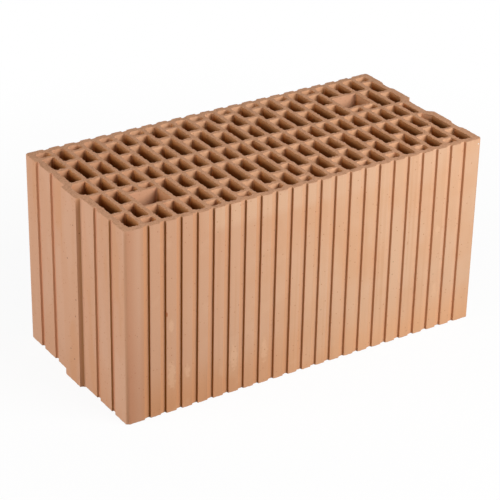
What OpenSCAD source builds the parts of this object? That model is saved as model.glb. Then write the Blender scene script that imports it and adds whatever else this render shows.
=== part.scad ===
// Hollow fired clay block with upright holes, grooved long faces and a tongue-and-recess end joint.
// Sizes in mm. Z is up, the block stands on its lower bed face. X runs along its length.
// Front face at -Y, tongue end at -X, recess end at +X.

/* [Block] */
// Length from end face to end face, without the tongue
block_length = 498; // [470:1:530]
// Width from the front face to the back face
block_width = 240; // [220:1:260]
// Height between the two ground bed faces
block_height = 249; // [200:1:280]
// Rounding of the four upright corners
corner_radius = 4; // [1.5:0.5:5]

/* [Shells and webs] */
// Clay between the outer row of holes and a long face
side_shell = 8.5; // [7.5:0.25:10]
// Clay between the outer column of holes and an end face
end_shell = 9.3; // [8:0.1:10.5]
// Clay between one column of holes and the next
column_web = 5.6; // [4.6:0.1:6.6]
// Clay between two holes of the same column
row_web = 5; // [4:0.1:6]

/* [Holes] */
// Width along X of the narrow column at mid length
narrow_width = 13; // [11:0.5:15]
// Depth along Y of the small hole that ends a column
small_depth = 12; // [10:0.5:14]
// Depth along Y of the hole in the middle row
mid_depth = 33; // [28:0.5:38]
// Rounding of the inner hole corners
hole_radius = 1.8; // [1:0.1:2.5]
// Rounding of the hole corners beside a long face
face_radius = 4; // [2.5:0.25:5]

/* [Face grooves] */
// Opening of a groove in a long face
groove_opening = 8.2; // [6.5:0.1:9.5]
// Depth of a groove at its steep side
groove_depth = 3; // [2:0.1:4]
// Depth of a groove at its sloping side
groove_shallow = 2.3; // [1.2:0.1:3]
// Run of the steep flank
steep_run = 0.9; // [0.4:0.1:1.6]
// Run of the sloping flank
slope_run = 1.9; // [1:0.1:2.6]
// Shift towards even spacing of the two grooves beside the narrow column
middle_shift = 0.85; // [0:0.05:1.3]

/* [End joint] */
// How far the tongue stands out of its end face
tongue_out = 6; // [4.5:0.25:7]
// Width of the tongue at its foot
tongue_foot = 41; // [39:0.5:45]
// Width of the tongue at its tip
tongue_tip = 35.5; // [33:0.5:37]
// Rounding of the inner corner between a tongue flank and the end face
tongue_fillet = 2.5; // [1:0.25:3.5]
// Depth of the recess in the other end face
recess_depth = 7.25; // [6:0.25:8.5]
// Width of the recess at its mouth
recess_mouth = 51; // [47:0.5:54]
// Width of the recess at its floor
recess_floor = 36.5; // [35:0.5:39]
// Length of the corner cut on the tongue hole
tongue_cut = 6; // [4:0.5:8]
// Length along Y of the corner cut beside the recess
recess_cut = 11.5; // [9:0.5:14]

/* [End grooves] */
// Opening of a groove in the tongue end
end_opening = 8.2; // [6.5:0.1:9.5]
// Depth of a groove in the tongue end
end_depth = 2.4; // [1.5:0.1:3.5]
// Flank run of a groove in the tongue end
end_run = 1; // [0.5:0.1:2]
// Distance of the inner pair of grooves from mid width
inner_groove = 52.5; // [48:0.5:58]
// Distance of the outer pair of grooves from mid width
outer_groove = 88; // [83:0.5:93]
// Distance of the shallow hollows in the recess end from mid width
hollow_offset = 72; // [66:0.5:76]
// Width of a shallow hollow at its mouth
hollow_mouth = 25; // [22:0.5:30]
// Width of a shallow hollow at its floor
hollow_floor = 13; // [9:0.5:17]
// Depth of a shallow hollow
hollow_depth = 2.8; // [1.5:0.1:3.5]

/* [Hidden] */
$fn = 48;
columns = 23;
middle = 12;
grip_columns = 2;
grip_first = 3;
grip_last = 20;
past = 1;
// The rounding at the tongue's foot cuts this little into the faces beside it, so that it crosses them.
bite = 0.006;
// A small and two common holes fill each half of a column. A slot is as deep as a small and a hole.
half_depth = (block_width - mid_depth) / 2 - side_shell;
hole_depth = (half_depth - small_depth - 3 * row_web) / 2;
slot_depth = small_depth + row_web + hole_depth;
hole_width = (block_length - 2 * end_shell - (columns - 1) * column_web - narrow_width) / (columns - 1);
pitch = hole_width + column_web;
// The origin lies under the middle of the whole length, tongue counted in.
tongue_x = -(block_length + tongue_out) / 2;
left_x = tongue_x + tongue_out;
right_x = left_x + block_length;
front_y = -block_width / 2;
back_y = block_width / 2;
// The rounding at the tongue's foot touches the flank and the end face this far from their corner.
flank_angle = atan2(tongue_out, (tongue_foot - tongue_tip) / 2);
fillet_reach = tongue_fillet * tan(flank_angle / 2);
fillet_x = left_x - tongue_fillet;
fillet_y = tongue_foot / 2 + fillet_reach;
flank_x = left_x - fillet_reach * sin(flank_angle);
flank_y = tongue_foot / 2 - fillet_reach * cos(flank_angle);

// Left edge, width and right edge of one column of holes
function column_x(c) = left_x + end_shell + (c - 1) * pitch - (c > middle ? hole_width - narrow_width : 0);
function column_width(c) = c == middle ? narrow_width : hole_width;
function column_end(c) = column_x(c) + column_width(c);

// Middle of the groove that runs over the web after column c
function groove_shift(c) = c == middle - 1 ? -middle_shift : c == middle ? middle_shift : 0;
function groove_x(c) = column_end(c) + column_web / 2 + groove_shift(c);

// One hole outline, with its own corner rounding at the front and at the back
module rounded(x0, x1, y0, y1, front_r, back_r) {
  polygon([
    [x0 + front_r, y0], [x1 - front_r, y0], [x1, y0 + front_r], [x1, y1 - back_r],
    [x1 - back_r, y1], [x0 + back_r, y1], [x0, y1 - back_r], [x0, y0 + front_r]
  ]);
  for (x = [x0 + front_r, x1 - front_r]) translate([x, y0 + front_r]) circle(r = front_r);
  for (x = [x0 + back_r, x1 - back_r]) translate([x, y1 - back_r]) circle(r = back_r);
}

// One half of a column, counted from its long face inwards: a hole and a slot, or a small and two holes.
// side is -1 for the front half and 1 for the back half.
module half_cell(x0, x1, start, depth, side) {
  outer = start == 0 ? face_radius : hole_radius;
  a = back_y - side_shell - start - depth;
  if (side > 0) rounded(x0, x1, a, a + depth, hole_radius, outer);
  else rounded(x0, x1, -a - depth, -a, outer, hole_radius);
}

module slot_half(c, side) {
  half_cell(column_x(c), column_end(c), 0, hole_depth, side);
  half_cell(column_x(c), column_end(c), hole_depth + row_web, slot_depth, side);
}

module small_half(c, side) {
  half_cell(column_x(c), column_end(c), 0, small_depth, side);
  half_cell(column_x(c), column_end(c), small_depth + row_web, hole_depth, side);
  half_cell(column_x(c), column_end(c), small_depth + hole_depth + 2 * row_web, hole_depth, side);
}

// The half column beside a grip hole: a hole outside it and a small one inside it
module grip_half(c, side) {
  half_cell(column_x(c), column_end(c), 0, hole_depth, side);
  half_cell(column_x(c), column_end(c), 2 * (hole_depth + row_web), small_depth, side);
}

// The wide hole for the fingers, over two columns
module grip(c, side) {
  half_cell(column_x(c), column_end(c + 1), hole_depth + row_web, hole_depth, side);
}

function in_grip(c, first) = c >= first && c < first + grip_columns;

module front_holes() {
  for (c = [1:columns]) {
    if (in_grip(c, grip_first)) grip_half(c, -1);
    else if (c % 2 == 1) slot_half(c, -1);
    else small_half(c, -1);
  }
  grip(grip_first, -1);
}

module back_holes() {
  for (c = [1:columns]) {
    if (in_grip(c, grip_last)) grip_half(c, 1);
    else if (c % 2 == 1) small_half(c, 1);
    else slot_half(c, 1);
  }
  grip(grip_last, 1);
}

module middle_holes() {
  for (c = [2:columns - 1])
    rounded(column_x(c), column_end(c), -mid_depth / 2, mid_depth / 2, hole_radius, hole_radius);
  tongue_hole();
  rounded(column_x(columns), right_x - recess_depth - end_shell, -mid_depth / 2, mid_depth / 2,
    hole_radius, hole_radius);
}

// The first middle hole reaches out into the tongue, its two outer corners cut
module tongue_hole() {
  x0 = tongue_x + end_shell;
  x1 = column_end(1);
  h = mid_depth / 2;
  polygon([
    [x0, tongue_cut - h], [x0 + tongue_cut, -h], [x1, -h], [x1, h], [x0 + tongue_cut, h], [x0, h - tongue_cut]
  ]);
}

// Clay that stays at the corner of a hole beside the recess
module recess_corner(side) {
  x1 = column_end(columns) + past;
  x0 = column_end(columns) - recess_depth;
  y0 = mid_depth / 2 + row_web - past;
  slope = recess_cut / recess_depth;
  polygon([
    [x0 - past / slope, side * y0], [x1, side * y0],
    [x1, side * (y0 + past + recess_cut + past * slope)]
  ]);
}

module holes() {
  difference() {
    union() {
      front_holes();
      back_holes();
    }
    recess_corner(1);
    recess_corner(-1);
  }
  middle_holes();
}

// Groove section in a long face: the steep flank lies towards +X in front and towards -X at the back
module face_groove(x, side) {
  y = side * back_y;
  slope_x = x + side * groove_opening / 2;
  steep_x = x - side * groove_opening / 2;
  polygon([
    [slope_x, y + side * past], [slope_x, y], [slope_x - side * slope_run, y - side * groove_shallow],
    [steep_x + side * steep_run, y - side * groove_depth], [steep_x, y], [steep_x, y + side * past]
  ]);
}

module end_groove(y) {
  a = end_opening / 2;
  polygon([
    [left_x - past, y - a], [left_x, y - a], [left_x + end_depth, y - a + end_run],
    [left_x + end_depth, y + a - end_run], [left_x, y + a], [left_x - past, y + a]
  ]);
}

module hollow(y, mouth, base, deep) {
  polygon([
    [right_x + past, y - mouth / 2], [right_x, y - mouth / 2], [right_x - deep, y - base / 2],
    [right_x - deep, y + base / 2], [right_x, y + mouth / 2], [right_x + past, y + mouth / 2]
  ]);
}

// The outer outline before it is grooved: a rounded rectangle with the tongue on its left end.
// Clay reaches to the middle of each rounding at the tongue's foot, which the outline then cuts.
module body() {
  r = corner_radius;
  polygon([
    [left_x + r, front_y], [right_x - r, front_y], [right_x, front_y + r], [right_x, back_y - r],
    [right_x - r, back_y], [left_x + r, back_y], [left_x, back_y - r],
    [left_x, fillet_y], [fillet_x, fillet_y], [flank_x, flank_y], [tongue_x, tongue_tip / 2],
    [tongue_x, -tongue_tip / 2], [flank_x, -flank_y], [fillet_x, -fillet_y], [left_x, -fillet_y],
    [left_x, front_y + r]
  ]);
  for (x = [left_x + r, right_x - r], y = [front_y + r, back_y - r])
    translate([x, y]) circle(r = r);
}

module outline() {
  difference() {
    body();
    for (c = [1:columns - 1]) {
      face_groove(groove_x(c), -1);
      face_groove(groove_x(c), 1);
    }
    for (side = [-1, 1]) {
      translate([fillet_x, side * fillet_y]) circle(r = tongue_fillet + bite);
      end_groove(side * inner_groove);
      end_groove(side * outer_groove);
      hollow(side * hollow_offset, hollow_mouth, hollow_floor, hollow_depth);
    }
    hollow(0, recess_mouth, recess_floor, recess_depth);
  }
}

// The whole block: one extruded section of fired clay
module brick() {
  color([0.82, 0.62, 0.48])
    linear_extrude(height = block_height)
      difference() {
        outline();
        holes();
      }
}

brick();
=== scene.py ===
"""Hollow fired clay block, dressed around its packed section, laid out as a Blender add-on."""

import math

import bmesh
import bpy
from bpy.props import FloatProperty, FloatVectorProperty, IntProperty, PointerProperty
from mathutils import Matrix, Vector


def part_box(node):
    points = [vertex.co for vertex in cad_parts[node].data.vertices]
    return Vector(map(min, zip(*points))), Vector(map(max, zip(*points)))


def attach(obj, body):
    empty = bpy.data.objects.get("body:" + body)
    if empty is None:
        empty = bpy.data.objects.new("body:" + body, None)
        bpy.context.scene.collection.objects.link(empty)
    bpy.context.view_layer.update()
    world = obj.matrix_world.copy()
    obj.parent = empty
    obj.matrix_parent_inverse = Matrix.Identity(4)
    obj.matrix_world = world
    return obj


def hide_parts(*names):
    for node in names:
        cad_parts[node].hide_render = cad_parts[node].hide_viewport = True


bl_info = {
    "name": "Hollow Clay Block",
    "version": (1, 0, 0),
    "blender": (4, 5, 0),
    "location": "View3D > Sidebar > Clay Block",
    "description": "Dresses the section of a hollow clay block in fired clay and sets up its stage",
    "category": "Add Mesh",
}

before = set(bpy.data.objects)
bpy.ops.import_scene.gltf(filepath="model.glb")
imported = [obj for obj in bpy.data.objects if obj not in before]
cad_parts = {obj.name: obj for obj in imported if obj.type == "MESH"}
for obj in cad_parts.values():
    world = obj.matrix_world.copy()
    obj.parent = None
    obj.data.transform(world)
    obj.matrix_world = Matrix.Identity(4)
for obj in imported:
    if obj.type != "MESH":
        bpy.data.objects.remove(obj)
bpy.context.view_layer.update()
BLOCK_NODE = "brick"
BLOCK_LOW, BLOCK_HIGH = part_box(BLOCK_NODE)
BLOCK_HEIGHT = BLOCK_HIGH.z - BLOCK_LOW.z

# Reach of the tongue, and a depth between the grooves in the outer faces and the outermost holes
TONGUE_OUT = 0.006
OUTER_SKIN = 0.0078
# End and middle of the block's body along X, and the stretch of the long faces that has grooves
BODY_END = BLOCK_LOW.x + TONGUE_OUT
BODY_MIDDLE = (BODY_END + BLOCK_HIGH.x) / 2
GROOVED_FROM, GROOVED_TO = BLOCK_LOW.x + 0.02, BLOCK_HIGH.x - 0.01
# The wide grip holes lie opposite each other about the body's middle
GRIP_X, GRIP_Y, GRIP_HALF = 0.179, 0.0555, 0.0187
# Columns of holes along X: step, width of a hole, what the middle one lacks of it, and the shell before them
HOLE_STEP, HOLE_WIDE, NARROWER = 0.0212, 0.0156, 0.0026
END_SHELL = 0.0093

# Heights above the lower bed and depths below the upper bed at which the walls get a ring of points
LOW_RINGS = (0.0012,)
HIGH_RINGS = (0.009, 0.003, 0.001)
# Steps shorter than this lie on an arc of the outlines, where every third point is enough
ARC_STEP = 0.0007
ARC_KEEP = 3.0
SHARP_ANGLE = math.radians(28)
WELD = 0.00002
FEWEST_FACES = 1000
# Points closer to a bed than this lie in it, and how far from it the clay is worn, torn and chipped
BED_SKIN = 0.0001
WORN_REACH, TORN_REACH, CHIP_REACH = 0.002, 0.004, 0.005
# How far one step of the seed moves the patterns along each axis
SEED_STEP = (0.37, 0.19, 0.53)
SHAPE_INPUTS = ("Spacing", "Rim", "Wear", "Ragged", "Chip", "Burr", "Wobble", "Warp", "Grain", "Seed")
LEVEL = (1.0, 1.0, 0.0)
NOISE_MIDDLE = (0.5, 0.5, 0.5)

# Marks on the front face: colour, strength, and the place, half width and half height of each
MARKS = (
    ("smear", 0.42, (
        (-0.1862, 0.049, 0.0055, 0.021), (-0.187, 0.115, 0.004, 0.008), (-0.1653, 0.0485, 0.0045, 0.009),
        (-0.1015, 0.047, 0.005, 0.019), (-0.059, 0.0455, 0.005, 0.018), (0.193, 0.139, 0.0045, 0.007),
        (0.194, 0.055, 0.0045, 0.011))),
    ("lime", 0.9, ((0.2473, 0.2422, 0.0009, 0.0010),)),
    ("dot", 0.95, ((-0.1926, 0.1313, 0.0012, 0.0036),)),
)
WALL_ROUGHNESS, BED_ROUGHNESS, SHINE = 0.86, 0.96, 0.08
BUMP_STRENGTH, BUMP_HEIGHT = 0.55, 0.0007

# Lamps: name, width and height, and where each stands
LAMPS = (
    ("key", (1.4, 1.2), (0.732, -1.569, 1.235)),
    ("fill", (1.3, 1.3), (-2.12, 0.14, 0.66)),
    ("back", (1.3, 1.0), (0.5, 2.2, 0.5)),
)
FLOOR_REACH, FLOOR_DROP = 6.0, 0.0005
SEEN_FLOOR = (0.95, 0.95, 0.95, 1.0)
WHITE = (1.0, 1.0, 1.0, 1.0)
IMAGE_SIZE = 500
SENSOR_WIDTH = 36.0


def length(name, description, size, least=0.0):
    return FloatProperty(name=name, description=description, default=size, min=least, unit="LENGTH")


def power(name, description, watts):
    return FloatProperty(name=name, description=description, default=watts, unit="POWER")


def angle(name, description, degrees):
    return FloatProperty(name=name, description=description, default=math.radians(degrees), subtype="ANGLE")


def tone(name, description, linear):
    return FloatVectorProperty(
        name=name, description=description, default=(*linear, 1.0), min=0.0, max=1.0, size=4,
        subtype="COLOR")


class BlockShape(bpy.types.PropertyGroup):
    """Sizes of the fired block that its drawing doesn't have: worn edges, chips and warping"""

    spacing: length("Point Spacing", "Longest step between points along the outlines", 0.0017, 0.001)
    rim: length("Rim Width", "Width of the strip of bed face beside each edge", 0.0012, 0.0004)
    wear: length("Edge Wear", "How far the cut edges are rubbed back", 0.00025)
    ragged: length("Ragged Edge", "How far the cut edges wander, where the wire tore the clay", 0.0024)
    chip: length("Chip Depth", "Depth of the chips along the cut edges", 0.0016)
    burr: length("Burr", "How far clay is dragged over the edges that face the tongue end", 0.0016)
    wobble: length("Wobble", "How uneven the outlines of the holes are", 0.0006)
    warp: length("Warp", "How far walls bend in drying and firing", 0.00015)
    grain: length("Bed Relief", "Height of the coarse relief of the ground bed faces", 0.0002)
    seed: IntProperty(
        name="Seed", description="Moves the chips and the ragged edges about", default=7, min=0)


class ClayFinish(bpy.types.PropertyGroup):
    """Colours of the fired clay and of the shade painted on it, as linear values"""

    face: tone("Face", "Smooth extruded face", (0.76, 0.425, 0.244))
    # Bloom also carries painted light: the long faces turn paler towards the far end, where the key lamp
    # stands.
    bloom_and_light: tone("Bloom", "Paler bloom on the extruded faces", (0.785, 0.485, 0.308))
    # Blush also carries painted shade on the long faces towards the tongue end.
    blush_and_shade: tone("Blush", "Pinker clay towards the tongue end", (0.685, 0.376, 0.235))
    # Streak also carries painted shade: at the foot on the tongue end's side, on the slope before the first
    # groove, on the groove slopes and steep flanks, and on the flanks at the tongue end.
    streak_and_shade: tone("Streak", "Faint upright streaks left by the die", (0.67, 0.32, 0.155))
    bed: tone("Bed", "Ground bed faces", (0.585, 0.300, 0.168))
    bed_pale: tone("Pale Bed", "Paler grains of the ground bed faces", (0.685, 0.373, 0.225))
    ash: tone("Ash", "Paler, greyer clay beside the near corner", (0.71, 0.42, 0.28))
    inner: tone("Inner", "Hole walls close to the beds", (0.84, 0.43, 0.215))
    core: tone("Deep Shade", "Painted shade on the hole walls, deep in the block", (0.148, 0.056, 0.004))
    umber: tone("Umber", "Painted shade on the hole walls, half way to the dark", (0.49, 0.194, 0.040))
    flank: tone("Flank", "Painted shade on the steep flanks of the grooves", (0.31, 0.14, 0.028))
    smear: tone("Smear", "Pale smears low on the ribs", (0.86, 0.54, 0.335))
    lime: tone("Lime", "White lime grain", (0.93, 0.88, 0.80))
    speck: tone("Speck", "Dark burnt specks and pits", (0.25, 0.095, 0.048))
    dot: tone("Dot", "Small reddish grains in the extruded faces", (0.52, 0.19, 0.085))


class BlockStage(bpy.types.PropertyGroup):
    """Floor, light and camera around the block"""

    floor: tone("Floor", "Colour of the floor", (0.30, 0.30, 0.30))
    azimuth: angle("Azimuth", "Camera's turn from the front face", -33.31)
    elevation: angle("Elevation", "Camera's height above level", 27.44)
    roll: angle("Roll", "Camera's tilt about its line of sight", 1.19)
    eye: FloatVectorProperty(
        name="Eye", description="Where the camera stands", subtype="TRANSLATION", unit="LENGTH",
        default=(-1.146, -1.739, 1.190))
    focal: FloatProperty(
        name="Focal Length", description="Focal length in pixels of the square picture", default=1903.6)
    key_power: power("Key Power", "Large soft lamp in front, to the right", 41.6)
    fill_power: power("Fill Power", "Soft lamp on the tongue end's side", 31.0)
    back_power: power("Back Power", "Weak soft lamp behind the block", 12.0)
    sky: FloatProperty(
        name="Sky", description="Strength of the even white light all round", default=0.10)


class Wire:
    """A node socket that takes part in sums: each one adds a Math node to its tree."""

    def __init__(self, tree, socket):
        self.tree = tree
        self.socket = socket

    def out(self, name):
        return Wire(self.tree, self.socket.node.outputs[name])

    def sum(self, operation, first, second=None):
        sockets = {0: first} if second is None else {0: first, 1: second}
        return self.tree.add("ShaderNodeMath", {"operation": operation}, sockets)

    def __add__(self, other):
        return self.sum("ADD", self, other)

    def __radd__(self, other):
        return self.sum("ADD", other, self)

    def __sub__(self, other):
        return self.sum("SUBTRACT", self, other)

    def __rsub__(self, other):
        return self.sum("SUBTRACT", other, self)

    def __mul__(self, other):
        return self.sum("MULTIPLY", self, other)

    def __rmul__(self, other):
        return self.sum("MULTIPLY", other, self)

    def __truediv__(self, other):
        return self.sum("DIVIDE", self, other)

    def __mod__(self, other):
        return self.sum("FLOORED_MODULO", self, other)

    def __pow__(self, other):
        return self.sum("POWER", self, other)

    def __gt__(self, other):
        return self.sum("GREATER_THAN", self, other)

    def __lt__(self, other):
        return self.sum("LESS_THAN", self, other)

    def __abs__(self):
        return self.sum("ABSOLUTE", self)

    def lower(self, other):
        return self.sum("MINIMUM", self, other)

    def upper(self, other):
        return self.sum("MAXIMUM", self, other)

    def clamp(self):
        return self.lower(1.0).upper(0.0)

    def smooth(self, start, end):
        """0 at start and 1 at end, easing in and out."""
        return self.tree.add("ShaderNodeMapRange", {"interpolation_type": "SMOOTHSTEP"}, {
            "Value": self, "From Min": start, "From Max": end})

    def band(self, start, full, still, end):
        """1 from full to still, easing to 0 at start and end."""
        return self.smooth(start, full) * self.smooth(end, still)


class Tree:
    """Adds nodes to one node tree."""

    def __init__(self, tree):
        self.tree = tree

    def add(self, kind, settings=None, sockets=None):
        """One node: its settings are set first, then its sockets get their values or links."""
        node = self.tree.nodes.new(kind)
        for name, value in (settings or {}).items():
            setattr(node, name, value)
        for name, value in (sockets or {}).items():
            self.feed(node.inputs[name], value)
        outputs = [o for o in node.outputs if o.enabled]
        return Wire(self, outputs[0]) if outputs else node

    def feed(self, socket, value):
        """Gives a socket a plain value, a link, or several links."""
        if isinstance(value, list):
            for wire in value:
                self.tree.links.new(wire.socket, socket)
        elif isinstance(value, Wire):
            self.tree.links.new(value.socket, socket)
        else:
            socket.default_value = value

    def vector(self, operation, first, second=None, scale=None):
        sockets = {0: first}
        if second is not None:
            sockets[1] = second
        if scale is not None:
            sockets["Scale"] = scale
        return self.add("ShaderNodeVectorMath", {"operation": operation}, sockets)

    def upright(self, place, share):
        """Places for a pattern that is drawn out along Z, which counts for a share only."""
        return self.vector("MULTIPLY", place, (1.0, 1.0, share))

    def mix(self, factor, first, second, blend="MIX"):
        node = self.add("ShaderNodeMix", {"data_type": "RGBA", "blend_type": blend}).socket.node
        inputs = {i.identifier: i for i in node.inputs}
        self.feed(inputs["Factor_Float"], factor)
        self.feed(inputs["A_Color"], first)
        self.feed(inputs["B_Color"], second)
        return Wire(self, next(o for o in node.outputs if o.identifier == "Result_Color"))

    def noise(self, place, scale, detail=2.0, roughness=0.5):
        return self.add("ShaderNodeTexNoise", {"noise_dimensions": "3D"}, {
            "Vector": place, "Scale": scale, "Detail": detail, "Roughness": roughness})


def inner_walls(axes):
    """1 on the walls of the holes, 0 on the outer faces."""
    across = abs(axes.out("Y")) < BLOCK_HIGH.y - OUTER_SKIN
    left = axes.out("X") > BODY_END + OUTER_SKIN
    return across * left * (axes.out("X") < BLOCK_HIGH.x - OUTER_SKIN)


class FiredBlock:
    """Geometry Nodes: the bed's outlines become walls with worn, ragged and chipped edges."""

    def __init__(self, group):
        group.interface.new_socket("Geometry", in_out="INPUT", socket_type="NodeSocketGeometry")
        for name in ("Height",) + SHAPE_INPUTS:
            group.interface.new_socket(name, in_out="INPUT", socket_type="NodeSocketFloat")
        group.interface.new_socket("Geometry", in_out="OUTPUT", socket_type="NodeSocketGeometry")
        t = Tree(group)
        self.t = t
        self.given = t.add("NodeGroupInput")
        self.height = self.given.out("Height")
        self.position = t.add("GeometryNodeInputPosition")
        self.axes = t.add("ShaderNodeSeparateXYZ", None, {"Vector": self.position})
        self.from_bed = self.axes.out("Z").lower(self.height - self.axes.out("Z"))
        self.in_bed = self.from_bed < BED_SKIN
        self.inner = inner_walls(self.axes)
        self.normal = t.add("GeometryNodeInputNormal")
        self.facing = t.add("ShaderNodeSeparateXYZ", None, {"Vector": self.normal})
        self.outward = t.vector("NORMALIZE", t.vector("MULTIPLY", self.normal, LEVEL))
        self.sideways = (self.facing.out("X") ** 2.0 + self.facing.out("Y") ** 2.0) ** 0.5
        shift = t.add("ShaderNodeCombineXYZ", None, {
            axis: self.given.out("Seed") * step for axis, step in zip("XYZ", SEED_STEP)})
        self.seeded = t.vector("ADD", self.position, shift)

    def store(self, geometry, name, kind, value):
        """Keeps a value on the points under a name."""
        return self.t.add("GeometryNodeStoreNamedAttribute", {"data_type": kind, "domain": "POINT"}, {
            "Geometry": geometry, "Name": name, "Value": value})

    def welded(self, parts):
        """Joins parts and merges the points that they share."""
        joined = self.t.add("GeometryNodeJoinGeometry", None, {"Geometry": parts})
        return self.t.add("GeometryNodeMergeByDistance", None, {"Geometry": joined, "Distance": WELD})

    def step(self, offset):
        """Distance from each point of an outline to its neighbour."""
        t = self.t
        neighbour = t.add("GeometryNodeOffsetPointInCurve", None, {
            "Point Index": t.add("GeometryNodeInputIndex"), "Offset": offset})
        place = t.add("GeometryNodeFieldAtIndex", {"data_type": "FLOAT_VECTOR", "domain": "POINT"}, {
            "Value": self.position, "Index": neighbour.out("Point Index")})
        return t.vector("DISTANCE", self.position, place).out("Value")

    def outlines(self):
        """Outlines of the lower bed, with fewer points on arcs and more on straight stretches."""
        t = self.t
        marked = self.store(self.given.out("Geometry"), "outward", "FLOAT_VECTOR", self.outward)
        lower_bed = t.add("GeometryNodeSeparateGeometry", {"domain": "FACE"}, {
            "Geometry": marked, "Selection": self.facing.out("Z") < -0.9})
        border = t.add("GeometryNodeInputMeshEdgeNeighbors") < 1.5
        curves = t.add("GeometryNodeMeshToCurve", None, {"Mesh": lower_bed, "Selection": border})
        after, before = self.step(1), self.step(-1)
        count = t.add("GeometryNodeSplineParameter").out("Index")
        spare = (after < ARC_STEP) * (before < ARC_STEP) * (count % ARC_KEEP > 0.5)
        curves = t.add("GeometryNodeDeleteGeometry", {"domain": "POINT"}, {
            "Geometry": curves, "Selection": spare})
        cuts = after / self.given.out("Spacing")
        return t.add("GeometryNodeSubdivideCurve", None, {"Curve": curves, "Cuts": cuts})

    def bed(self, outlines):
        """The bed face, with a strip of even width beside each edge."""
        t = self.t
        outward = t.add("GeometryNodeInputNamedAttribute", {"data_type": "FLOAT_VECTOR"}, {
            "Name": "outward"})
        inwards = t.vector("SCALE", outward, scale=self.given.out("Rim") * -1.0)
        rims = t.add("GeometryNodeSetPosition", None, {"Geometry": outlines, "Offset": inwards})
        both = t.add("GeometryNodeJoinGeometry", None, {"Geometry": [outlines, rims]})
        strip = t.add("GeometryNodeFillCurve", None, {"Curve": both})
        field = t.add("GeometryNodeFillCurve", None, {"Curve": rims})
        return self.welded([strip, field])

    def walls(self, bed):
        """The bed drawn up to the block's height ring by ring, with a turned copy as the lower bed."""
        t = self.t
        upper = [self.height - ring for ring in HIGH_RINGS]
        heights = [*LOW_RINGS, self.height * 0.5, *upper, self.height]
        block = t.add("GeometryNodeExtrudeMesh", {"mode": "FACES"}, {
            "Mesh": bed, "Offset Scale": heights[0], "Individual": False})
        for below, level in zip(heights, heights[1:]):
            block = t.add("GeometryNodeExtrudeMesh", {"mode": "FACES"}, {
                "Mesh": block, "Selection": block.out("Top"), "Offset Scale": level - below,
                "Individual": False})
        block = self.welded([block, t.add("GeometryNodeFlipFaces", None, {"Mesh": bed})])
        bend = t.add("GeometryNodeInputMeshEdgeAngle").out("Unsigned Angle")
        block = t.add("GeometryNodeSetShadeSmooth", {"domain": "FACE"}, {
            "Geometry": block, "Shade Smooth": True})
        return t.add("GeometryNodeSetShadeSmooth", {"domain": "EDGE"}, {
            "Geometry": block, "Selection": bend > SHARP_ANGLE, "Shade Smooth": False})

    def edges(self):
        """Rubbed, chipped and ragged edges, and the grain of the beds."""
        t, given, place = self.t, self.given, self.seeded
        near = (1.0 - self.from_bed / WORN_REACH).clamp() ** 2.0
        reach = (1.0 - self.from_bed / CHIP_REACH).clamp() ** 1.5
        loose = 0.4 + 0.6 * self.inner
        rub = given.out("Wear") * near * self.sideways * (0.3 + 1.4 * t.noise(place, 160.0))
        flake = t.noise(place, 70.0, 3.0).smooth(0.62, 0.76)
        nick = t.noise(place, 260.0, 1.0).smooth(0.55, 0.75)
        chips = (0.2 + 0.8 * self.sideways) * (flake + 0.4 * nick).lower(1.0)
        broken = given.out("Chip") * loose * reach * chips
        swing = (t.noise(place, 330.0, 2.0, 0.7) - 0.5) * 2.0
        wander = given.out("Ragged") * loose * near * self.sideways * swing
        grains = (t.noise(place, 420.0) - 0.5) * 2.0
        relief = given.out("Grain") * self.in_bed * (1.0 - self.sideways) * grains
        return t.vector("SCALE", self.normal, scale=relief - rub - broken + wander)

    def bent(self):
        """A slight warp of the whole block, and the uneven walls of the holes."""
        t = self.t
        warp = t.vector("SUBTRACT", t.noise(self.seeded, 8.0, 1.0).out("Color"), NOISE_MIDDLE)
        warp = t.vector("SCALE", warp, scale=self.given.out("Warp") * 2.0)
        uneven = t.noise(t.upright(self.seeded, 0.15), 55.0, 2.0).out("Color")
        uneven = t.vector("SUBTRACT", uneven, NOISE_MIDDLE)
        uneven = t.vector("SCALE", uneven, scale=self.given.out("Wobble") * 2.0 * self.inner)
        return t.vector("MULTIPLY", t.vector("ADD", warp, uneven), LEVEL)

    def worn(self, block):
        """The block with its edges and walls moved, and burrs on the hole edges that face the tongue end."""
        t = self.t
        lip = self.in_bed * self.facing.out("X").smooth(-0.35, -0.6) * self.inner
        torn = t.noise(self.seeded, 360.0, 1.0) + 0.05 * self.axes.out("X").smooth(-0.05, 0.2)
        burr = lip * torn.smooth(0.46, 0.66)
        block = self.store(block, "lip", "FLOAT", lip)
        block = self.store(block, "burr", "FLOAT", burr)
        teeth = t.vector("SCALE", self.outward, scale=self.given.out("Burr") * burr)
        moved = t.vector("ADD", t.vector("ADD", self.edges(), self.bent()), teeth)
        return t.add("GeometryNodeSetPosition", None, {"Geometry": block, "Offset": moved})

    def build(self, material):
        block = self.worn(self.walls(self.bed(self.outlines())))
        solid = self.t.add("GeometryNodeRealizeInstances", None, {"Geometry": block})
        done = self.t.add("GeometryNodeSetMaterial", None, {"Geometry": solid, "Material": material})
        self.t.add("NodeGroupOutput", None, {"Geometry": done})


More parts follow.
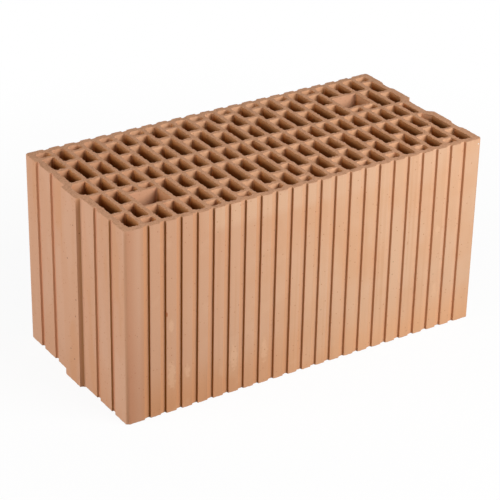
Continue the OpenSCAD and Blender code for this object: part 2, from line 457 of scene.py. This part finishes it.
class Clay:
    """The shader of the fired clay: where a point lies on the block, and how the clay looks there."""

    def __init__(self, t, finish):
        self.t = t
        self.colours = {name: tuple(getattr(finish, name)) for name in finish.__annotations__}
        self.place = t.add("ShaderNodeTexCoord").out("Object")
        self.axes = t.add("ShaderNodeSeparateXYZ", None, {"Vector": self.place})
        self.x, self.y, self.z = (self.axes.out(name) for name in "XYZ")
        self.beyond_end = self.x - BODY_END
        self.half = self.y / abs(self.y)
        self.from_bed = self.z.lower(BLOCK_HEIGHT - self.z)
        facing = t.add("ShaderNodeSeparateXYZ", None, {
            "Vector": t.add("ShaderNodeNewGeometry").out("True Normal")})
        self.facing_x, self.facing_y = facing.out("X"), facing.out("Y")
        self.on_bed = abs(facing.out("Z")).smooth(0.55, 0.85)
        self.streaks = t.noise(t.upright(self.place, 0.012), 210.0, 3.0)
        self.coarse = t.noise(self.place, 380.0, 4.0, 0.7)
        self.fine = t.noise(self.place, 900.0, 2.0)
        self.torn = t.noise(self.place, 300.0, 3.0).smooth(0.42, 0.6)
        self.torn = (1.0 - self.from_bed / TORN_REACH).clamp() * self.torn
        self.pits = t.noise(self.place, 620.0, 1.0).smooth(0.63, 0.71) * self.on_bed

    def tint(self, factor, colour, name):
        """Mixes a named colour over the colour so far."""
        return self.t.mix(factor, colour, self.colours[name])

    def walls(self):
        """Extruded faces: clouds and upright streaks, warmer at the foot, pinker towards the tongue end;
        painted light makes them paler towards the far end, and painted shade darkens the tongue end's side
        and its foot.
        """
        t = self.t
        clouds = t.noise(self.place, 13.0, 3.0).smooth(0.36, 0.64)
        patches = t.noise(self.place, 30.0, 2.0).smooth(0.56, 0.66)
        # Painted light: the faces turn paler towards the far end, where the key lamp stands.
        far = self.x.smooth(-0.2, 0.26)
        foot = self.z.smooth(0.075, 0.0)
        top = self.z.smooth(0.214, 0.229) * self.x.band(-0.15, -0.12, 0.09, 0.13)
        colour = t.mix(clouds * 0.75 + far * 0.25, self.colours["face"], self.colours["bloom_and_light"])
        # Pinker towards the tongue end: partly the clay's pink, partly painted shade away from the key lamp.
        colour = self.tint(self.x.smooth(0.10, -0.22) * 0.8, colour, "blush_and_shade")
        # Painted shade at the foot on the tongue end's side, where the floor shades the faces; the foot is
        # warmer towards the far end.
        colour = self.tint(foot * self.x.smooth(0.08, -0.2) * 0.9, colour, "streak_and_shade")
        colour = self.tint(foot * far * 0.7, colour, "inner")
        colour = self.tint(top * 0.85, colour, "bloom_and_light")
        colour = self.tint(self.streaks.smooth(0.5, 0.78) * 0.35, colour, "streak_and_shade")
        return self.tint(patches * 0.22, colour, "bloom_and_light")

    def near_corner(self, colour):
        """Beside the tongue end: pink, then ash, then ochre painted shade on the lit slope before the first
        groove, and redder low down on the long faces.
        """
        on_long_face = self.beyond_end > 0.001
        low = 0.07 + 0.22 * self.z.smooth(0.19, 0.03)
        colour = self.tint(self.beyond_end.smooth(0.026, 0.004) * 0.85, colour, "blush_and_shade")
        colour = self.tint(self.beyond_end.band(0.006, 0.018, 0.022, 0.030) * 0.6, colour, "ash")
        # Painted shade in ochre over the lit slope before the first groove.
        colour = self.tint(self.beyond_end.band(0.017, 0.024, 0.028, 0.031) * 0.4, colour, "streak_and_shade")
        colour = self.tint(self.beyond_end.smooth(0.016, 0.001) * on_long_face * 0.32, colour, "dot")
        return self.tint(self.beyond_end.smooth(0.034, 0.020) * on_long_face * low, colour, "dot")

    def tongue_end(self, colour):
        """Upright mottle on the tongue end."""
        on_end = self.beyond_end < 0.0005
        mottle = self.t.noise(self.t.upright(self.place, 0.22), 38.0, 3.0)
        colour = self.tint(on_end * mottle.smooth(0.52, 0.66) * 0.4, colour, "streak_and_shade")
        return self.tint(on_end * mottle.smooth(0.48, 0.34) * 0.5, colour, "ash")

    def grooves(self, colour):
        """Grooves in the long faces: warmer than the ribs, with painted shade on their lit slopes and on one
        steep flank of each.
        """
        sunk = BLOCK_HIGH.y - abs(self.y)
        in_skin = sunk < OUTER_SKIN
        grooved = (self.x > GROOVED_FROM) * (self.x < GROOVED_TO)
        groove = sunk.smooth(0.0004, 0.0013) * in_skin * grooved
        oblique = abs(self.facing_x * self.facing_y).smooth(0.2, 0.45) * in_skin
        # Warm grooves, and painted shade on their slopes, which the key lamp lights.
        warm = groove * self.x.smooth(BLOCK_HIGH.x, BLOCK_LOW.x) * 0.6 + oblique * grooved * 0.35
        steep = (self.facing_x * self.half).smooth(0.75, 0.92) * groove
        colour = self.tint(warm.clamp(), colour, "streak_and_shade")
        colour = self.tint(oblique * (1.0 - grooved) * 0.65, colour, "bed")
        # Painted shade on the steep flanks: browner towards the far end, darker towards the tongue end.
        colour = self.tint(steep * self.x.smooth(-0.1, 0.15) * 0.6, colour, "streak_and_shade")
        return self.tint(steep * self.x.smooth(BLOCK_HIGH.x + 0.04, BLOCK_LOW.x), colour, "flank")

    def end_flanks(self, colour):
        """Shade painted on the flanks of the tongue and of the end grooves, more of it towards the front."""
        flank = abs(self.facing_y).smooth(0.85, 0.905) * (self.x < BLOCK_LOW.x + OUTER_SKIN)
        flank = flank * (abs(self.y) < BLOCK_HIGH.y - OUTER_SKIN)
        depth = self.x.smooth(BLOCK_LOW.x - 0.002, BODY_END)
        in_groove = self.x > BODY_END
        dark = depth * 0.56 + in_groove * (self.y.smooth(0.0, -0.13) * 0.9 - 0.56)
        colour = self.tint(flank * (0.2 + 0.4 * depth), colour, "streak_and_shade")
        return self.tint(flank * dark, colour, "flank")

    def far_corner(self):
        """1 in one corner of each hole, on the wall across the block, where shade is painted."""
        along = (self.x - BODY_END - END_SHELL + NARROWER * (self.x > BODY_MIDDLE)) % HOLE_STEP
        frontward = self.facing_y < 0.0
        along = along * frontward + (HOLE_WIDE - along) * (1.0 - frontward)
        return along.smooth(0.0085, 0.0150) * abs(self.facing_y).smooth(0.3, 0.7)

    def holes(self, colour):
        """Hole walls: painted shade that grows with depth and in one corner, less in the wide grip holes but
        more in their corners.
        """
        inside = inner_walls(self.axes)
        along = abs((self.x - BODY_MIDDLE) * self.half - GRIP_X)
        across = abs(abs(self.y) - GRIP_Y)
        grip = (along < GRIP_HALF) * (across < GRIP_HALF)
        light = grip * abs(self.facing_y).smooth(0.5, 0.9)
        # Painted shade in the corners of the grip holes.
        grip_corner = along.smooth(0.011, 0.0178) * across.smooth(0.010, 0.0165)
        open_hole = (grip * 0.5 + light * 0.35) * (1.0 - 0.6 * grip_corner)
        corner = self.far_corner() * (1.0 - grip) * self.from_bed.smooth(0.0, 0.004)
        fade = (self.from_bed / (0.023 + 0.013 * abs(self.facing_y))).smooth(0.0, 1.0)
        shaded = abs(self.facing_x).smooth(0.86, 0.97) * 0.39
        dark = (shaded + (1.0 - shaded) * fade) * (1.0 - open_hole)
        colour = self.tint(inside * 0.3, colour, "inner")
        colour = self.tint(inside * corner * 0.38, colour, "umber")
        colour = self.tint(light * 0.6, colour, "blush_and_shade")
        colour = self.tint(inside * (dark * 2.0).lower(1.0) * 0.8, colour, "umber")
        return self.tint(inside * dark.smooth(0.35, 1.0), colour, "core")

    def marks(self, colour):
        """Pale smears, a lime grain and a nick on the front face."""
        front = self.y < BLOCK_LOW.y + OUTER_SKIN
        cloud = (self.t.noise(self.place, 260.0, 3.0) - 0.5) * 3.0
        for name, strength, spots in MARKS:
            for x, z, wide, high in spots:
                away = ((self.x - x) / wide) ** 2.0 + ((self.z - z) / high) ** 2.0
                colour = self.tint((away + cloud).smooth(1.2, 0.1) * front * strength, colour, name)
        return colour

    def bed(self, colour):
        """Ground beds and torn edges: pale and dark grains, and a darker, warmer lip beside the hole edges
        that face the tongue end.
        """
        t = self.t
        lip = t.add("ShaderNodeAttribute", {"attribute_name": "lip"}).out("Fac")
        burr = t.add("ShaderNodeAttribute", {"attribute_name": "burr"}).out("Fac")
        colour = self.tint(self.torn * 0.4, colour, "bed_pale")
        ground = t.mix(self.coarse.smooth(0.35, 0.65), self.colours["bed"], self.colours["bed_pale"])
        ground = self.tint(lip * 0.5, ground, "umber")
        return t.mix(self.on_bed.upper(burr.smooth(0.2, 0.6)), colour, ground)

    def grains(self, scale, share, size):
        """Small round grains in the clay: a share of the cells of a given scale holds one."""
        cells = self.t.add("ShaderNodeTexVoronoi", {"feature": "F1", "voronoi_dimensions": "3D"}, {
            "Vector": self.place, "Scale": scale})
        chosen = self.t.add("ShaderNodeSeparateColor", None, {"Color": cells.out("Color")}).out("Red")
        return cells.out("Distance").smooth(size, size * 0.4) * (chosen < share)

    def surface(self):
        """All the colours in turn, then grains, relief and the shader itself."""
        t = self.t
        colour = self.tongue_end(self.near_corner(self.walls()))
        colour = self.end_flanks(self.grooves(colour))
        colour = self.bed(self.marks(self.holes(colour)))
        at_end = self.x < BLOCK_LOW.x + OUTER_SKIN
        specks = self.grains(95.0, 0.12 + 0.33 * at_end, 0.10 + 0.03 * at_end)
        specks = specks * (0.45 + 0.4 * at_end)
        dots = self.grains(165.0, 0.5, 0.17) * (1.0 - self.on_bed)
        colour = self.tint(dots * 0.65, colour, "dot")
        colour = self.tint((specks + self.pits * 0.4).clamp(), colour, "speck")
        shade = 0.93 + 0.14 * self.fine
        shade = t.add("ShaderNodeCombineColor", None, {"Red": shade, "Green": shade, "Blue": shade})
        ground = self.coarse * 0.5 + self.fine * 0.25 - self.pits * 0.7
        wall = self.streaks * 0.25 + self.fine * 0.12 + self.torn * 0.5 - specks * 0.4
        raised = self.on_bed * ground + (1.0 - self.on_bed) * wall
        bump = t.add("ShaderNodeBump", None, {
            "Strength": BUMP_STRENGTH, "Distance": BUMP_HEIGHT, "Height": raised})
        shader = t.add("ShaderNodeBsdfPrincipled", None, {
            "Base Color": t.mix(1.0, colour, shade, "MULTIPLY"),
            "Roughness": WALL_ROUGHNESS + (BED_ROUGHNESS - WALL_ROUGHNESS) * self.on_bed,
            "Specular IOR Level": SHINE, "Normal": bump})
        t.add("ShaderNodeOutputMaterial", None, {"Surface": shader})


def new_material(name):
    """A material with an empty node tree, and the tree."""
    material = bpy.data.materials.new(name)
    material.use_nodes = True
    material.node_tree.nodes.clear()
    return material, Tree(material.node_tree)


def linked(name, data):
    """A new object of the scene."""
    thing = bpy.data.objects.new(name, data)
    bpy.context.scene.collection.objects.link(thing)
    return thing


def welded_copy(source, name):
    """A copy of a CAD node's mesh with its loose triangles joined."""
    mesh = source.data.copy()
    mesh.name = name
    work = bmesh.new()
    work.from_mesh(mesh)
    bmesh.ops.remove_doubles(work, verts=work.verts, dist=WELD / 4)
    work.to_mesh(mesh)
    work.free()
    return linked(name, mesh)


def settle(piece):
    """Turns a piece's modifiers into its plain mesh."""
    shown = piece.evaluated_get(bpy.context.evaluated_depsgraph_get())
    mesh = bpy.data.meshes.new_from_object(shown)
    piece.modifiers.clear()
    piece.data = mesh
    mesh.name = piece.name
    return mesh


class BLOCK_OT_clay(bpy.types.Operator):
    """Makes the fired block from the outlines of its CAD section"""

    bl_idname = "clay_block.clay"
    bl_label = "Fired Block"

    def execute(self, context):
        shape = context.scene.clay_shape
        material, t = new_material("fired_clay")
        Clay(t, context.scene.clay_finish).surface()
        group = bpy.data.node_groups.new("Clay block from its section", "GeometryNodeTree")
        FiredBlock(group).build(material)
        piece = welded_copy(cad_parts[BLOCK_NODE], "clay_block")
        modifier = piece.modifiers.new("Fired edges", "NODES")
        modifier.node_group = group
        sizes = {name: float(getattr(shape, name.lower())) for name in SHAPE_INPUTS}
        sizes["Height"] = BLOCK_HEIGHT
        for item in group.interface.items_tree:
            if item.in_out == "INPUT" and item.name in sizes:
                modifier[item.identifier] = sizes[item.name]
        mesh = settle(piece)
        if len(mesh.polygons) < FEWEST_FACES:
            raise RuntimeError("the block's outlines gave no walls")
        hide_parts(BLOCK_NODE)
        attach(piece, "root")
        return {"FINISHED"}


def soft_lamp(name, watts, size, eye, target):
    """A large lamp that stands at eye and shines at target."""
    lamp = bpy.data.lights.new(name, "AREA")
    lamp.shape = "RECTANGLE"
    lamp.size, lamp.size_y = size
    lamp.energy = watts
    holder = linked(name, lamp)
    holder.location = eye
    holder.rotation_euler = (Vector(target) - Vector(eye)).to_track_quat("-Z", "Y").to_euler()


def seen_directly(t):
    """1 for what the camera sees, straight or in a sheen, and 0 for light that falls on the block."""
    rays = t.add("ShaderNodeLightPath")
    mirrored = rays.out("Is Glossy Ray").upper(rays.out("Is Transmission Ray"))
    return rays.out("Is Camera Ray").upper(mirrored)


class BLOCK_OT_stage(bpy.types.Operator):
    """Makes the pale floor, the soft light and the camera"""

    bl_idname = "clay_block.stage"
    bl_label = "Floor, Light and Camera"

    def execute(self, context):
        stage = context.scene.clay_stage
        context.scene.view_settings.view_transform = "Standard"
        self.floor(stage)
        self.sky(context, stage)
        middle = (0.0, 0.0, BLOCK_HEIGHT / 2)
        for name, size, eye in LAMPS:
            soft_lamp(name, getattr(stage, name + "_power"), size, eye, middle)
        self.camera(context, stage)
        return {"FINISHED"}

    def floor(self, stage):
        """A floor that looks white, and lies a little below the block's rough lower bed."""
        mesh = bpy.data.meshes.new("floor")
        corners = ((-1, -1), (1, -1), (1, 1), (-1, 1))
        places = [(x * FLOOR_REACH, y * FLOOR_REACH, -FLOOR_DROP) for x, y in corners]
        mesh.from_pydata(places, [], [(0, 1, 2, 3)])
        floor = linked("floor", mesh)
        material, t = new_material("pale_floor")
        seen = seen_directly(t)
        paint = t.add("ShaderNodeBsdfDiffuse", None, {"Color": t.mix(seen, tuple(stage.floor), SEEN_FLOOR)})
        glow = t.add("ShaderNodeEmission", None, {"Color": WHITE, "Strength": 1.0})
        place = t.add("ShaderNodeTexCoord").out("Object")
        axes = t.add("ShaderNodeSeparateXYZ", None, {"Vector": place})
        under = abs(axes.out("X")) < BLOCK_HIGH.x - OUTER_SKIN * 2.0
        under = under * (abs(axes.out("Y")) < BLOCK_HIGH.y - OUTER_SKIN)
        away = t.vector("LENGTH", place).out("Value")
        white = seen * (1.0 - under) * (0.93 + 0.07 * away.smooth(0.35, 0.95))
        both = t.add("ShaderNodeMixShader", None, {0: white, 1: paint, 2: glow})
        t.add("ShaderNodeOutputMaterial", None, {"Surface": both})
        mesh.materials.append(material)

    def sky(self, context, stage):
        """White where it is seen, and a weak even light on the block."""
        world = bpy.data.worlds.new("studio")
        context.scene.world = world
        world.use_nodes = True
        world.node_tree.nodes.clear()
        t = Tree(world.node_tree)
        strength = stage.sky + (1.0 - stage.sky) * seen_directly(t)
        sky = t.add("ShaderNodeBackground", None, {"Color": WHITE, "Strength": strength})
        t.add("ShaderNodeOutputWorld", None, {"Surface": sky})

    def camera(self, context, stage):
        data = bpy.data.cameras.new("camera")
        data.sensor_width = SENSOR_WIDTH
        data.sensor_fit = "HORIZONTAL"
        data.lens = stage.focal * SENSOR_WIDTH / IMAGE_SIZE
        camera = linked("camera", data)
        a, e = stage.azimuth, stage.elevation
        back = Vector((math.sin(a) * math.cos(e), -math.cos(a) * math.cos(e), math.sin(e)))
        right = Vector((math.cos(a), math.sin(a), 0.0))
        tilt = Matrix.Rotation(stage.roll, 3, back)
        axes = Matrix((tilt @ right, tilt @ back.cross(right), back)).transposed()
        camera.matrix_world = Matrix.Translation(stage.eye) @ axes.to_4x4()
        context.scene.camera = camera


class BLOCK_PT_panel(bpy.types.Panel):
    """Lists the block's makers and sizes"""

    bl_idname = "BLOCK_PT_panel"
    bl_label = "Clay Block"
    bl_space_type = "VIEW_3D"
    bl_region_type = "UI"
    bl_category = "Clay Block"

    def draw(self, context):
        for group, operator in (
                (context.scene.clay_shape, BLOCK_OT_clay), (context.scene.clay_finish, None),
                (context.scene.clay_stage, BLOCK_OT_stage)):
            box = self.layout.box()
            for name in group.__annotations__:
                box.prop(group, name)
            if operator:
                box.operator(operator.bl_idname)


CLASSES = (BlockShape, ClayFinish, BlockStage, BLOCK_OT_clay, BLOCK_OT_stage, BLOCK_PT_panel)


def register():
    for item in CLASSES:
        bpy.utils.register_class(item)
    bpy.types.Scene.clay_shape = PointerProperty(type=BlockShape)
    bpy.types.Scene.clay_finish = PointerProperty(type=ClayFinish)
    bpy.types.Scene.clay_stage = PointerProperty(type=BlockStage)


def unregister():
    del bpy.types.Scene.clay_stage
    del bpy.types.Scene.clay_finish
    del bpy.types.Scene.clay_shape
    for item in reversed(CLASSES):
        bpy.utils.unregister_class(item)


def main():
    register()
    bpy.ops.clay_block.stage()
    bpy.ops.clay_block.clay()


if __name__ == "__main__":
    main()
